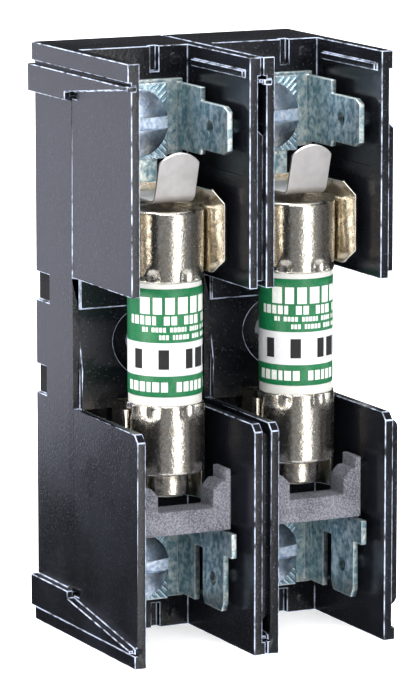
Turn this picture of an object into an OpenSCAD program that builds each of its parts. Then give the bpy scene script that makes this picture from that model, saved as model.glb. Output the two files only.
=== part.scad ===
// Two-pole open fuse block for 10.3 x 38.1 mm rejection fuses.
// Two equal pole mouldings stand side by side on a panel, one fuse upright in each.
// Frame: +Z up along the fuses, the open front faces -Y and the panel face is Y = 0.
// X = 0 is midway between the poles and Z = 0 is level with the mounting holes.
// Depths are measured forward from the panel face, so a depth d lies at Y = -d.

/* [Pole body] */
// Width of one pole over its side walls
pole_w = 18.1; // [18:0.1:19]
// Gap between the two poles
pole_gap = 1.2; // [1.2:0.1:2]
// Height of a pole, end to end
pole_h = 78.9; // [78:0.1:80]
// Thickness of the side walls
wall_t = 1.2; // [1:0.1:1.3]
// Depth of the upper side walls from the panel face
upper_wing_d = 30.6; // [30:0.1:32]
// Depth of the lower side walls from the panel face
lower_wing_d = 32.2; // [31.6:0.1:33]
// Depth of the floor that carries the metal parts
floor_d = 12; // [11.8:0.1:12.2]
// Thickness of the moulded floor over the hollow back
floor_t = 2.8; // [2.4:0.1:3]
// Height above the middle at which the finger gap ends
finger_top = 9.2; // [8.9:0.1:9.5]
// Height below the middle at which the finger gap ends
finger_bottom = 8.5; // [8.3:0.1:8.8]
// Radius of the mounting hole
mount_r = 2.2; // [2.1:0.05:2.3]
// Distance of the mounting hole from the pole's middle plane
mount_x = 1.4; // [1.2:0.1:1.5]
// Radius of the seat for the mounting screw's head
mount_seat_r = 4.6; // [4:0.1:4.8]

/* [Gang hooks and stand-offs] */
// How far the hooks stand out of the left side
hook_proud = 1.05; // [0.8:0.05:1.1]
// How far the end borders stand out of both sides
border_proud = 0.45; // [0.3:0.05:0.5]
// How far the walls stand back from the sides of the base
crease = 0.06; // [0.05:0.01:0.2]
// Depth at which each hook steps down to its wedge
hook_step_d = 12; // [11:0.5:13]

/* [Fuse] */
// Depth of the fuse's axis from the panel face
fuse_d = 21.4; // [21:0.1:21.8]
// Radius of the end caps
cap_r = 5.15; // [5.1:0.01:5.2]
// Length of each end cap
cap_len = 9.4; // [9:0.1:10]
// Radius of the tube
tube_r = 4.85; // [4.8:0.01:4.9]
// Inner radius of the tube
tube_bore_r = 3.6; // [3.2:0.1:3.8]
// Height of the fuse's upper end above the middle
fuse_top = 19.3; // [19:0.1:19.5]
// Length of the fuse with its rejection tip
fuse_len = 38.1; // [37.8:0.1:38.4]
// Radius of the rejection tip
tip_r = 3.175; // [3:0.025:3.3]
// Length of the rejection tip
tip_len = 3.1; // [2.8:0.1:3.4]
// Thickness of the wrapped label
label_t = 0.1; // [0.08:0.01:0.15]

/* [Clips and spring] */
// Running clearance between a clip and an end cap
clip_fit = 0.15; // [0.12:0.01:0.3]
// Thickness of the clip strip
clip_t = 0.55; // [0.4:0.05:0.6]
// Angle at which the upper clip's wings open
wing_angle = 28; // [20:1:32]
// Length of the wings
wing_len = 2.5; // [2:0.1:2.8]
// Width of the end spring
spring_w = 5.8; // [5.6:0.1:6.4]
// Thickness of the end spring
spring_t = 0.4; // [0.3:0.05:0.5]

/* [Terminals] */
// Thickness of the terminal plate
terminal_t = 0.9; // [0.8:0.05:1]
// Distance of a terminal screw's axis from the pole's middle plane
screw_x = -1.5; // [-1.8:0.1:-1.2]
// Height of a terminal screw's axis above the middle
screw_z = 29.8; // [29.5:0.1:30]
// Radius of the screw's thread
thread_r = 2.08; // [2:0.01:2.1]
// Radius of the screw's head
head_r = 4.5; // [4.2:0.1:4.7]
// Height of the screw's head
head_h = 2.6; // [2.2:0.1:2.8]
// Side of the square clamp plate
clamp_w = 10.1; // [9.4:0.1:10.4]
// Thickness of the clamp plate
clamp_t = 1.4; // [1.2:0.1:1.5]
// Gap between the clamp plate and the terminal plate
clamp_gap = 0.5; // [0.4:0.1:0.8]
// Width of the push-on tab
tab_w = 6.35; // [6.2:0.05:6.4]
// Thickness of the push-on tab
tab_t = 0.8; // [0.75:0.05:0.9]
// Depth of the line tab's tip from the panel face
tab_tip_d = 28; // [27:0.1:29]
// Distance of the tab's middle from the pole's middle plane
tab_x = 6.3; // [6.1:0.1:6.5]

/* [Rejection plate] */
// Half the width of the raised frame
reject_half_w = 6.6; // [6.4:0.1:6.8]
// Half the width of the notch for the tip
notch_half_w = 4; // [3.8:0.1:4.2]
// Depth of the frame's face from the panel face
reject_face_d = 27.8; // [27.4:0.1:28]
// Depth of the frame's back from the panel face
reject_back_d = 23.8; // [23.6:0.1:24]

/* [Hidden] */
$fn = 48;
over = 0.2;                          // how far a cutter runs past a face
half_w = pole_w / 2;
half_h = pole_h / 2;
inner_x = half_w - wall_t;           // inner face of a side wall
pitch = pole_w + pole_gap;

// Body details, heights above the middle
corner_chamfer = 1;                  // corners beside the finger gap
base_wall = 1.4;                     // side walls of the hollow back
end_wall = 1.4;
rib_z = [8.9, 10.1];                  // cross ribs of the hollow back
mount_boss_r = 5.6;
mount_seat_d = 10.8;
well_boss_r = 4;
well_boss_d = 1.6;
well_r = 2.6;
well_d = 2.8;
upper_pocket = [4.7, 8.5];            // pockets in both sides of the base
upper_pocket_d = 4.4;
lower_pocket = [-8, -4.1];
lower_pocket_d = 3.3;
side_pocket_depth = 0.5;
side_pocket_wall = 1.9;               // side walls of the middle hollow, behind the pockets
step_low = 12;                       // levels of the floor under the fuse
step_mid = 12.4;
step_high = 12.8;
step_top_z = 5;
slope_z = [-3.3, 0.2];
pocket_z = [23.8, 36.2];              // shallow pocket inside the right wall
pocket_d = [13.4, 28];
pocket_depth = 0.2;
rail_z = [36.8, 37.7];               // rail above the pocket
rail_d = [14, 29.3];
rail_proud = 0.5;
groove_x = [2.4, 3.6];               // wire stop groove at each end
groove_len = 3.4;
groove_depth = 1;
peg_x = 5.9;
peg_z = 37.7;
peg_r = 0.8;
peg_h = 0.6;
border_z = 37;
top_hook = [32.9, 36.6];
top_wedge_z = 34;
bottom_hook = [-37.4, -33.1];
bottom_wedge_z = -34.1;
wedge_point = 0.4;                   // height of a wedge at the front edge
hook_core_d = [10.1, 13.6];          // opening behind each hook
top_core = [33.1, 34];
bottom_core = [-33.8, -32.8];
nub = 0.5;
nub_h = 0.7;
pad_z = [10, 30.3];
pad_d = [14, 29.6];
rib_pad_z = [-34.9, -9.6];
rib_pad_d = [22, 31.2];
reject_z = [-23.2, -16.6];
reject_floor_z = -20;
reject_ear_z = -15;
ear_w = 0.8;
lead_in = 1.1;
flange_t = 1.2;
flange_x = inner_x + 0.45;
groove_fit = 0.05;

// Metal stack on the floor
terminal_front = floor_d + terminal_t;
clip_front = terminal_front + clip_t;
spring_front = clip_front + spring_t;
plate_z = [25, 35.1];
plate_x = [-7.2, tab_x + tab_t / 2];
neck_half_w = 3;
neck_z = 9.4;
relief = 0.9;                        // notch beside the neck
riser_z = [25.7, 34.6];
riser_d = 19.9;
tab_z = screw_z - 0.15;
tab_hole_r = 0.95;
tab_hole = 5.2;                      // from the tip of a tab to the middle of its hole
tab_lead = [1.2, 0.6];               // corner of a tab, along it and across
load_flange_z = [23.5, 26.8];        // the load terminal's arm, whose tab points down
load_flange_d = [18.6, 20.5, 29.3];
load_slot_z = 27;
load_leg_d = 18.1;
load_leg_z = 34.6;
load_tab_d = 23.7;
load_tip_z = 34.5;
line_clip_z = [10.7, 21.6];
load_clip_z = [7.2, 20.1];
leg_x = 3.3;
leg_top_d = 17.2;
wing_d = 23.8;                       // where the wings begin
wing_corner = 1.7;
load_arm_d = 21;
rivet_z = [12.8, 17.4];
rivet_r = 1.5;
rivet_head_r = 2.3;
rivet_head_h = 0.75;
spring_foot_z = 10.9;
spring_arm_z = 20.2;
spring_bend_d = 24.4;
spring_tip_d = 26.4;
spring_top_z = 27;
spring_arc_r = 3.8;
clamp_back = terminal_front + clamp_gap;
clamp_front = clamp_back + clamp_t;
clamp_rib = 0.4;
slot_w = 1.6;
slot_depth = 1.3;
dome_h = 1.2;
dome_r = (head_r * head_r + dome_h * dome_h) / (2 * dome_h);
shank_back = 4.2;
plate_hole_r = thread_r + 0.07;
clamp_hole_r = thread_r + 0.2;

// Fuse, heights above the middle
fuse_bottom = fuse_top - fuse_len;
body_bottom = fuse_bottom + tip_len;
cap_end_t = 0.5;
label_z = [-5.1, 9.2];
tip_chamfer = 0.3;
element_w = 2.4;
element_t = 0.3;
neck_hole_r = 0.75;
neck_holes = 5;
neck_hole_step = 4.6;

// A box between two limits in X, in depth and in Z
module block(x, d, z)
    translate([x[0], -d[1], z[0]]) cube([x[1] - x[0], d[1] - d[0], z[1] - z[0]]);

// A round bar along Y between two depths
module bar(r, d, x = 0, z = 0)
    translate([x, -d[0], z]) rotate([90, 0, 0]) cylinder(r = r, h = d[1] - d[0]);

// A side outline of [depth, height] points, extruded between two X limits
module side_outline(x, points)
    translate([x[0], 0, 0]) rotate([90, 0, 90]) linear_extrude(x[1] - x[0])
        polygon([for (p = points) [-p[0], p[1]]]);

// A front outline, extruded between two depths
module front_outline(d)
    translate([0, -d[0], 0]) rotate([90, 0, 0]) linear_extrude(d[1] - d[0]) children();

// A round bar along Z on the fuse's axis
module axial(r, z)
    translate([0, -fuse_d, z[0]]) cylinder(r = r, h = z[1] - z[0]);

// A part and its mirror image below the middle
module both_ends() {
    children();
    mirror([0, 0, 1]) children();
}

module at_pole(side) translate([side * pitch / 2 - mount_x, 0, 0]) children();
module left() at_pole(-1) children();
module right() at_pole(1) children();

// Side view of the pole: base, two wings and the finger gap between them
module pole_outline(x) side_outline(x, [
    [0, -half_h], [lower_wing_d, -half_h],
    [lower_wing_d, -finger_bottom - corner_chamfer],
    [lower_wing_d - corner_chamfer, -finger_bottom],
    [floor_d, -finger_bottom], [floor_d, finger_top],
    [upper_wing_d, finger_top], [upper_wing_d, half_h], [0, half_h],
]);

// Stepped floor between the wings, with a ramp towards the lower clip
module floor_steps() side_outline([-inner_x - over, inner_x + over], [
    [floor_d - over, finger_top], [step_mid, finger_top], [step_mid, step_top_z],
    [step_low, step_top_z], [step_low, slope_z[1]], [step_high, slope_z[0]],
    [step_high, -finger_bottom], [floor_d - over, -finger_bottom],
]);

module gang_hooks() {
    x = [-half_w - hook_proud, -half_w + 2 * crease];
    side_outline(x, [
        [0, top_hook[0]], [hook_step_d, top_hook[0]], [hook_step_d, top_wedge_z],
        [upper_wing_d, top_hook[1] - wedge_point], [upper_wing_d, top_hook[1]], [0, top_hook[1]],
    ]);
    side_outline(x, [
        [0, bottom_hook[1]], [hook_step_d, bottom_hook[1]], [hook_step_d, bottom_wedge_z],
        [lower_wing_d - nub, bottom_hook[0] + wedge_point],
        [lower_wing_d - nub, bottom_hook[0]], [0, bottom_hook[0]],
    ]);
    nub_x = [-half_w - hook_proud / 2, -half_w + wall_t / 2];
    block(nub_x, [upper_wing_d - nub, upper_wing_d + nub], [top_hook[1] - nub_h, top_hook[1]]);
    block(nub_x, [lower_wing_d - nub, lower_wing_d + nub / 4],
          [bottom_hook[0], bottom_hook[0] + nub_h]);
}

module end_borders() {
    x = [-half_w - border_proud, half_w + border_proud];
    difference() {
        block(x, [0, upper_wing_d], [border_z, half_h]);
        block([-inner_x, inner_x], [floor_d, upper_wing_d + over], [border_z - over, half_h + over]);
    }
    difference() {
        block(x, [0, lower_wing_d], [-half_h, -border_z - nub_h]);
        block([-inner_x, inner_x], [floor_d, lower_wing_d + over], [-half_h - over, -border_z]);
    }
}

// Pads on the right side that space this pole from the next one
module stand_offs() {
    x = [half_w - 2 * crease, half_w + pole_gap];
    front_outline(pad_d) polygon([
        [x[0], pad_z[0]], [x[1], pad_z[0]], [x[1], pad_z[1] - pole_gap], [x[0], pad_z[1]],
    ]);
    front_outline(rib_pad_d) {
        translate([x[0], rib_pad_z[0] + pole_gap])
            square([x[1] - x[0], rib_pad_z[1] - rib_pad_z[0] - 2 * pole_gap]);
        for (z = [rib_pad_z[0] + pole_gap, rib_pad_z[1] - pole_gap])
            translate([half_w, z]) circle(r = pole_gap);
    }
}

// Three hollows behind the floor
module back_hollows() {
    x = [-half_w + base_wall, half_w - base_wall];
    d = [-over, floor_d - floor_t];
    block([-half_w + side_pocket_wall, half_w - side_pocket_wall], d, [-rib_z[0], rib_z[0]]);
    both_ends() block(x, d, [rib_z[1], half_h - end_wall]);
}

module side_openings() {
    for (x = [[-half_w - over, -half_w + side_pocket_depth],
              [half_w - side_pocket_depth, half_w + over]]) {
        block(x, [-over, upper_pocket_d], upper_pocket);
        block(x, [-over, lower_pocket_d], lower_pocket);
    }
    core_x = [-half_w - over, -inner_x + over];
    block(core_x, hook_core_d, top_core);
    block(core_x, hook_core_d, bottom_core);
    block([inner_x - over, inner_x + pocket_depth], pocket_d, pocket_z);
}

module bosses() {
    bar(mount_boss_r, [0, floor_d - over], mount_x);
    both_ends() bar(well_boss_r, [well_boss_d, floor_d - over], screw_x, screw_z);
    both_ends() bar(peg_r, [floor_d - over, floor_d + peg_h], peg_x, peg_z);
}

module body_bores() {
    bar(mount_r, [-over, floor_d + 2], mount_x);
    bar(mount_seat_r, [mount_seat_d, floor_d + 2], mount_x);
    both_ends() {
        bar(well_r, [well_d, floor_d + over], screw_x, screw_z);
        for (z = rivet_z) bar(rivet_r, [-over, floor_d + over], 0, z);
        block(groove_x, [floor_d - groove_depth, floor_d + over], [half_h - groove_len, half_h + over]);
    }
    // Grooves that hold the rejection plate's flanges
    block([-flange_x - groove_fit, flange_x + groove_fit],
          [reject_back_d - groove_fit, reject_back_d + flange_t + groove_fit],
          [reject_z[0] - groove_fit, reject_z[1] + groove_fit]);
}

module pole_body() color("#23252d") difference() {
    union() {
        difference() {
            union() {
                block([-half_w, half_w], [0, floor_d], [-half_h, half_h]);
                pole_outline([-half_w + crease, -inner_x]);
                pole_outline([inner_x, half_w - crease]);
                floor_steps();
                gang_hooks();
                end_borders();
                stand_offs();
            }
            back_hollows();
            side_openings();
        }
        block([inner_x - rail_proud, inner_x + pocket_depth], rail_d, rail_z);
        bosses();
    }
    body_bores();
}

// Frame with a notch that only the narrow tip of the right fuse can enter
module rejection_plate() color("#6d7078") {
    d = [reject_back_d, reject_face_d];
    front_outline(d) polygon([
        [-reject_half_w, reject_z[0]], [reject_half_w, reject_z[0]],
        [reject_half_w, reject_ear_z], [reject_half_w - ear_w, reject_ear_z],
        [reject_half_w - ear_w, reject_z[1]], [notch_half_w + lead_in, reject_z[1]],
        [notch_half_w, reject_z[1] - lead_in], [notch_half_w, reject_floor_z],
        [-notch_half_w, reject_floor_z], [-notch_half_w, reject_z[1] - lead_in],
        [-notch_half_w - lead_in, reject_z[1]], [-reject_half_w + ear_w, reject_z[1]],
        [-reject_half_w + ear_w, reject_ear_z], [-reject_half_w, reject_ear_z],
    ]);
    for (x = [[-flange_x, -reject_half_w], [reject_half_w, flange_x]])
        block(x, [d[0], d[0] + flange_t], reject_z);
}

// Stamped plate under the screw, bent forward into a flange whose outline is given in full
module terminal(flange, hole) color("#8fa3b0") difference() {
    tab = [tab_x - tab_t / 2, tab_x + tab_t / 2];
    union() {
        block(plate_x, [floor_d, terminal_front], plate_z);
        block([-neck_half_w, neck_half_w], [floor_d, terminal_front], [neck_z, plate_z[0]]);
        side_outline(tab, flange);
    }
    bar(plate_hole_r, [floor_d - over, terminal_front + over], screw_x, screw_z);
    for (z = rivet_z) bar(rivet_r, [floor_d - over, terminal_front + over], 0, z);
    block([neck_half_w, neck_half_w + relief], [floor_d - over, terminal_front + over],
          [plate_z[0] - over, plate_z[0] + relief]);
    translate([tab[0] - over, -hole[0], hole[1]])
        rotate([0, 90, 0]) cylinder(r = tab_hole_r, h = tab_t + 2 * over);
}

// The line terminal's tab points forward
module line_terminal() {
    z = [tab_z - tab_w / 2, tab_z + tab_w / 2];
    terminal([
        [floor_d, riser_z[0]], [riser_d, riser_z[0]], [riser_d, z[0]],
        [tab_tip_d - tab_lead[0], z[0]], [tab_tip_d, z[0] + tab_lead[1]],
        [tab_tip_d, z[1] - tab_lead[1]], [tab_tip_d - tab_lead[0], z[1]],
        [riser_d, z[1]], [riser_d, riser_z[1]], [floor_d, riser_z[1]],
    ], [tab_tip_d - tab_hole, tab_z]);
}

// The load terminal's tab hangs from an arm and points away from the middle
module load_terminal() mirror([0, 0, 1]) {
    d = [load_tab_d - tab_w / 2, load_tab_d + tab_w / 2];
    terminal([
        [floor_d, plate_z[0]], [load_flange_d[0], plate_z[0]],
        [load_flange_d[1], load_flange_z[0]], [load_flange_d[2], load_flange_z[0]],
        [load_flange_d[2], load_flange_z[1]], [d[1], load_flange_z[1]],
        [d[1], load_tip_z - tab_lead[0]], [d[1] - tab_lead[1], load_tip_z],
        [d[0] + tab_lead[1], load_tip_z], [d[0], load_tip_z - tab_lead[0]],
        [d[0], load_slot_z], [load_leg_d, load_slot_z],
        [load_leg_d, load_leg_z], [floor_d, load_leg_z],
    ], [load_tab_d, load_tip_z - tab_hole + tab_lead[0]]);
}

// One arm of a clip: a leg off the base and a cradle round the cap
module clip_arm(z) {
    inside = cap_r + clip_fit;
    block([leg_x, leg_x + clip_t], [terminal_front, leg_top_d], z);
    intersection() {
        difference() {
            axial(inside + clip_t, z);
            axial(inside, [z[0] - over, z[1] + over]);
        }
        block([leg_x, inside + 2 * clip_t], [terminal_front, fuse_d], z);
    }
}

module clip_base(z) difference() {
    block([-leg_x - clip_t, leg_x + clip_t], [terminal_front, clip_front], z);
    for (h = rivet_z) bar(rivet_r, [terminal_front - over, clip_front + over], 0, h);
}

// Upper clip, with wings that lead the cap in
module line_clip() color("#c9c4ba") {
    clip_base(line_clip_z);
    inside = cap_r + clip_fit;
    for (side = [0, 1]) mirror([side, 0, 0]) {
        clip_arm(line_clip_z);
        block([inside, inside + clip_t], [fuse_d, wing_d], line_clip_z);
        translate([inside, -wing_d, 0]) rotate([0, 0, wing_angle]) side_outline([0, clip_t], [
            [0, line_clip_z[0]], [clip_t, line_clip_z[0]],
            [wing_len, line_clip_z[0] + wing_corner], [wing_len, line_clip_z[1] - wing_corner],
            [clip_t, line_clip_z[1]], [0, line_clip_z[1]],
        ]);
    }
}

// Lower clip, whose short arms end beside the cap
module load_clip() color("#c9c4ba") mirror([0, 0, 1]) {
    clip_base(load_clip_z);
    for (side = [0, 1]) mirror([side, 0, 0]) clip_arm(load_clip_z);
}

// Leaf spring that runs over the fuse's upper end and turns up in front
module end_spring() color("#b9b3b4") difference() {
    intersection() {
        side_outline([-spring_w / 2, spring_w / 2], [
            [clip_front, spring_foot_z], [spring_front, spring_foot_z],
            [spring_front, spring_arm_z], [spring_bend_d, spring_arm_z],
            [spring_tip_d, spring_top_z], [spring_tip_d - spring_t, spring_top_z],
            [spring_bend_d - spring_t, spring_arm_z + spring_t],
            [clip_front, spring_arm_z + spring_t],
        ]);
        union() {
            block([-spring_w / 2, spring_w / 2], [clip_front, spring_tip_d],
                  [spring_foot_z, spring_top_z - spring_arc_r / 2]);
            bar(spring_arc_r, [clip_front, spring_tip_d], 0, spring_top_z - spring_arc_r);
        }
    }
    for (z = rivet_z) bar(rivet_r, [clip_front - over, spring_front + over], 0, z);
}

// Square plate that grips the wire, ribbed underneath
module clamp_plate() color("#9db0bb") difference() {
    low = [screw_x - clamp_w / 2, screw_z - clamp_w / 2];
    union() {
        block([low[0], low[0] + clamp_w], [clamp_back + clamp_rib, clamp_front],
              [low[1], low[1] + clamp_w]);
        for (x = [low[0] + 1, low[0] + clamp_w - 2])
            block([x, x + 1], [clamp_back, clamp_back + clamp_rib + over],
                  [low[1], low[1] + clamp_w]);
    }
    bar(clamp_hole_r, [clamp_back - over, clamp_front + over], screw_x, screw_z);
}

module terminal_screw() color("#a9b8c4") difference() {
    union() {
        bar(thread_r, [shank_back, clamp_front + over], screw_x, screw_z);
        intersection() {
            bar(head_r, [clamp_front, clamp_front + head_h], screw_x, screw_z);
            translate([screw_x, dome_r - clamp_front - head_h, screw_z]) sphere(r = dome_r);
        }
    }
    block([screw_x - head_r - over, screw_x + head_r + over],
          [clamp_front + head_h - slot_depth, clamp_front + head_h + over],
          [screw_z - slot_w / 2, screw_z + slot_w / 2]);
}

module rivet(z, front) {
    bar(rivet_r, [floor_d - floor_t - rivet_head_h, front + rivet_head_h], 0, z);
    bar(rivet_head_r, [floor_d - floor_t - rivet_head_h, floor_d - floor_t], 0, z);
    bar(rivet_head_r, [front, front + rivet_head_h], 0, z);
}

module rivets() color("#b7bcc0") {
    for (z = rivet_z) {
        rivet(z, spring_front);
        rivet(-z, clip_front);
    }
}

module fuse_tube() color("#eceae4") difference() {
    axial(tube_r, [body_bottom + cap_end_t, fuse_top - cap_end_t]);
    axial(tube_bore_r, [body_bottom, fuse_top]);
}

module fuse_label() color("#0a7f45") difference() {
    axial(tube_r + label_t, label_z);
    axial(tube_r, [label_z[0] - over, label_z[1] + over]);
}

// Cap of the given height range, closed at its outer end
module cap(z, bore_z) color("#cfccc4") difference() {
    axial(cap_r, z);
    axial(tube_r, bore_z);
}

module fuse_upper_cap()
    cap([fuse_top - cap_len, fuse_top], [fuse_top - cap_len - over, fuse_top - cap_end_t]);

module fuse_lower_cap()
    cap([body_bottom, body_bottom + cap_len], [body_bottom + cap_end_t, body_bottom + cap_len + over]);

module fuse_tip() color("#cfccc4") translate([0, -fuse_d, 0]) rotate_extrude() polygon([
    [0, fuse_bottom], [tip_r - tip_chamfer, fuse_bottom], [tip_r, fuse_bottom + tip_chamfer],
    [tip_r, body_bottom], [0, body_bottom],
]);

// The strip that melts, with a row of necks made by holes
module element_blank()
    translate([-element_w / 2, -fuse_d - element_t / 2, body_bottom + cap_end_t])
        cube([element_w, element_t, fuse_top - body_bottom - 2 * cap_end_t]);

module fuse_element() color("#c07a4a") difference() {
    element_blank();
    middle = (fuse_top + body_bottom) / 2;
    for (n = [0 : neck_holes - 1])
        bar(neck_hole_r, [fuse_d - element_t, fuse_d + element_t], 0,
            middle + (n - (neck_holes - 1) / 2) * neck_hole_step);
}

module fuse_filler() color("#d9cfb8") difference() {
    axial(tube_bore_r, [body_bottom + cap_end_t, fuse_top - cap_end_t]);
    element_blank();
}

left() pole_body();  // left_pole_body
left() rejection_plate();  // left_rejection_plate
left() line_terminal();  // left_line_terminal
left() line_clip();  // left_line_clip
left() end_spring();  // left_end_spring
left() clamp_plate();  // left_line_clamp_plate
left() terminal_screw();  // left_line_screw
left() load_terminal();  // left_load_terminal
left() load_clip();  // left_load_clip
left() mirror([0, 0, 1]) clamp_plate();  // left_load_clamp_plate
left() mirror([0, 0, 1]) terminal_screw();  // left_load_screw
left() rivets();  // left_rivets
left() fuse_tube();  // left_fuse_tube
left() fuse_label();  // left_fuse_label
left() fuse_upper_cap();  // left_fuse_upper_cap
left() fuse_lower_cap();  // left_fuse_lower_cap
left() fuse_tip();  // left_fuse_tip
left() fuse_element();  // left_fuse_element
left() fuse_filler();  // left_fuse_filler
right() pole_body();  // right_pole_body
right() rejection_plate();  // right_rejection_plate
right() line_terminal();  // right_line_terminal
right() line_clip();  // right_line_clip
right() end_spring();  // right_end_spring
right() clamp_plate();  // right_line_clamp_plate
right() terminal_screw();  // right_line_screw
right() load_terminal();  // right_load_terminal
right() load_clip();  // right_load_clip
right() mirror([0, 0, 1]) clamp_plate();  // right_load_clamp_plate
right() mirror([0, 0, 1]) terminal_screw();  // right_load_screw
right() rivets();  // right_rivets
right() fuse_tube();  // right_fuse_tube
right() fuse_label();  // right_fuse_label
right() fuse_upper_cap();  // right_fuse_upper_cap
right() fuse_lower_cap();  // right_fuse_lower_cap
right() fuse_tip();  // right_fuse_tip
right() fuse_element();  // right_fuse_element
right() fuse_filler();  // right_fuse_filler
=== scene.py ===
"""Looks of a two-pole open fuse block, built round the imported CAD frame.

All lengths are in metres. +Z runs up along the fuses, the open front faces -Y and the panel face is Y = 0.
"""

import logging
import math
from collections.abc import Callable, Sequence
from dataclasses import dataclass, field
from enum import Enum
from random import Random

import bmesh
import bpy
from mathutils import Euler, Matrix, Vector


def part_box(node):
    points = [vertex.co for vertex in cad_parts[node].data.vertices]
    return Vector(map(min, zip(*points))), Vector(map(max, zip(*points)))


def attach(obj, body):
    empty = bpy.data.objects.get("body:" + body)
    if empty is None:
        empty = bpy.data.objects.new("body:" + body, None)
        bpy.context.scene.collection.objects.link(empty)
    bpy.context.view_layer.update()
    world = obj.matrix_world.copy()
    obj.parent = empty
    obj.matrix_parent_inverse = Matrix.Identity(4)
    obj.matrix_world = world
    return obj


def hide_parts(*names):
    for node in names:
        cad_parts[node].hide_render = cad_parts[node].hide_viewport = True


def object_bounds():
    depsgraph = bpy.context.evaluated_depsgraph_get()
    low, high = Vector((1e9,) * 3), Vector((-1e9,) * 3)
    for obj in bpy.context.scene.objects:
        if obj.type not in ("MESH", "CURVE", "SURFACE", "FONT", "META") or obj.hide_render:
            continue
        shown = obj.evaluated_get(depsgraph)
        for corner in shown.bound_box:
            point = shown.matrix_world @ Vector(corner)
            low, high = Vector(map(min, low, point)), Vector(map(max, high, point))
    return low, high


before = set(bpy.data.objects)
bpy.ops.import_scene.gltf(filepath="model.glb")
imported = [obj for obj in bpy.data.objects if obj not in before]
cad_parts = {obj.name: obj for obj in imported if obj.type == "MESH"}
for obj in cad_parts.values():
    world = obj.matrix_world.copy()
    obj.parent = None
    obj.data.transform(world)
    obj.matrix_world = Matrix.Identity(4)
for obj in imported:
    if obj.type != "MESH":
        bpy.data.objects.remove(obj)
CAD_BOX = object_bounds()

MM = 0.001
RIM = "rim"
LOG = logging.getLogger("fuse_block")

# Corners nearer than the gap are one corner, and faces within the angle, in degrees, are one flat face.
JOIN_GAP = 0.001 * MM
FLAT_ANGLE = 0.4
# How long an edge, how wide its faces and how long its neighbours must be, in widths of a rounding.
ROOM_ALONG = 3.0
ROOM_ACROSS = 2.2
ROOM_BESIDE = 1.6
# How many steps a quarter circle has.
QUARTER_STEPS = 6
# A Mix node's colour sockets: factor, first and second, and its result.
MIXING = (0, 6, 7)
MIXED = 2

Colour = tuple[float, float, float]
Point = tuple[float, float]
Span = tuple[float, float]
Triple = tuple[float, float, float]
Settings = dict[str, object]

WHITE: Colour = (1.0, 1.0, 1.0)


class Side(Enum):
    """The two poles, as seen from the front."""

    LEFT = "left"
    RIGHT = "right"


class End(Enum):
    """The two ends of a pole."""

    LINE = "line"
    LOAD = "load"


class Wire:
    """One output of a shader node that can be used in arithmetic."""

    def __init__(self, graph: "Graph", socket: bpy.types.NodeSocket) -> None:
        """Holds the socket.

        Args:
            graph: The node graph that the socket belongs to.
            socket: The output socket.
        """
        self.graph = graph
        self.socket = socket

    def _maths(self, operation: str, first: "Term", second: "Term") -> "Wire":
        """Adds a Math node.

        Args:
            operation: The node's operation.
            first: Its first value.
            second: Its second value.

        Returns:
            The node's result.
        """
        return self.graph.wire("ShaderNodeMath", 0, {"operation": operation}, {0: first, 1: second})

    def __add__(self, other: "Term") -> "Wire":
        """Adds a value to this one."""
        return self._maths("ADD", self, other)

    def __sub__(self, other: "Term") -> "Wire":
        """Takes a value from this one."""
        return self._maths("SUBTRACT", self, other)

    def __rsub__(self, other: "Term") -> "Wire":
        """Takes this value from a number."""
        return self._maths("SUBTRACT", other, self)

    def __mul__(self, other: "Term") -> "Wire":
        """Multiplies this value by another."""
        return self._maths("MULTIPLY", self, other)

    __radd__ = __add__
    __rmul__ = __mul__

    def ramp(self, span: Span, result: Span = (0.0, 1.0)) -> "Wire":
        """Stretches this value smoothly from one span to another.

        Args:
            span: The values that become the ends of the result.
            result: The lowest and highest results.

        Returns:
            The stretched value, held within the result's ends.
        """
        ends = zip(("From Min", "From Max", "To Min", "To Max"), span + result)
        return self.graph.wire("ShaderNodeMapRange", 0, {"interpolation_type": "SMOOTHSTEP"},
                               {"Value": self, **dict(ends)})


Term = Wire | float | int
Inputs = dict[str | int, object]


class Graph:
    """A tree of shader nodes."""

    def __init__(self, tree: bpy.types.NodeTree) -> None:
        """Holds the tree."""
        self.tree = tree

    def node(self, kind: str, settings: Settings | None = None,
             inputs: Inputs | None = None) -> bpy.types.Node:
        """Adds a node.

        Args:
            kind: The node's type.
            settings: Its settings by name, which are set first.
            inputs: Values or wires by socket name or number.

        Returns:
            The node.
        """
        node = self.tree.nodes.new(kind)
        for key, value in (settings or {}).items():
            setattr(node, key, value)
        for key, value in (inputs or {}).items():
            self.feed(node.inputs[key], value)
        return node

    def feed(self, socket: bpy.types.NodeSocket, value: object) -> None:
        """Links a wire to a socket or sets the socket's value.

        Args:
            socket: The input socket.
            value: A wire, number, colour or vector.
        """
        if isinstance(value, Wire):
            self.tree.links.new(value.socket, socket)
        elif socket.type == "RGBA" and len(value) == 3:
            socket.default_value = (*value, 1.0)
        else:
            socket.default_value = value

    def wire(self, kind: str, output: str | int, settings: Settings | None = None,
             inputs: Inputs | None = None) -> Wire:
        """Adds a node and gives one of its outputs.

        Args:
            kind: The node's type.
            output: The output's name or number.
            settings: Its settings by name.
            inputs: Values or wires by socket name or number.

        Returns:
            The output.
        """
        return Wire(self, self.node(kind, settings, inputs).outputs[output])


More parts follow.
